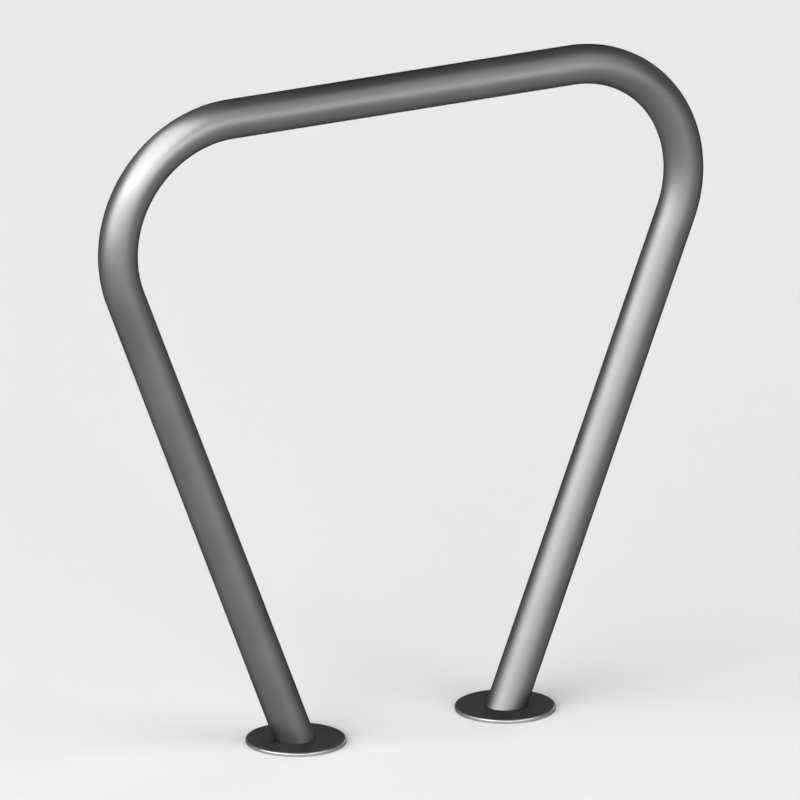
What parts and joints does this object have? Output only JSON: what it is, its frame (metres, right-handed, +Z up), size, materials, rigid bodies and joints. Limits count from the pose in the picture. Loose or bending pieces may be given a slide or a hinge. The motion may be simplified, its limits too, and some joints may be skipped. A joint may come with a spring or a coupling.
{
  "type": "bike rack",
  "caption": "Round steel tube bent into an upside-down trapezoid hoop on round screw-down flanges with sliding covers, to lean and lock a bicycle against.",
  "frame": {"origin": "on the floor, midway between the two feet, in the plane of the hoop", "axes": "+Z up, +X along the top rail towards the right foot, +Y square to the hoop's plane, away from the viewer at the front"},
  "size_m": [0.8138, 0.122, 0.8279],
  "materials": {
    "tube_steel": "satin ground stainless steel",
    "flange_steel": "plain laser-cut plate",
    "weld_steel": "weld metal ground flush",
    "cover_steel": "satin pressed stainless sheet"
  },
  "bodies": {
    "hoop": {"hoop_tube": "tube_steel", "left_mounting_flange": "flange_steel", "right_mounting_flange": "flange_steel", "left_flange_weld": "weld_steel", "right_flange_weld": "weld_steel"},
    "left_cover": {"left_flange_cover": "cover_steel"},
    "right_cover": {"right_flange_cover": "cover_steel"}
  },
  "joints": [
    {"name": "left_cover_slide", "type": "slide", "parent": "hoop", "child": "left_cover", "axis": [-0.361, 0, 0.9326], "range_m": [0, 0.62]},
    {"name": "right_cover_slide", "type": "slide", "parent": "hoop", "child": "right_cover", "axis": [0.361, 0, 0.9326], "range_m": [0, 0.62]}
  ]
}
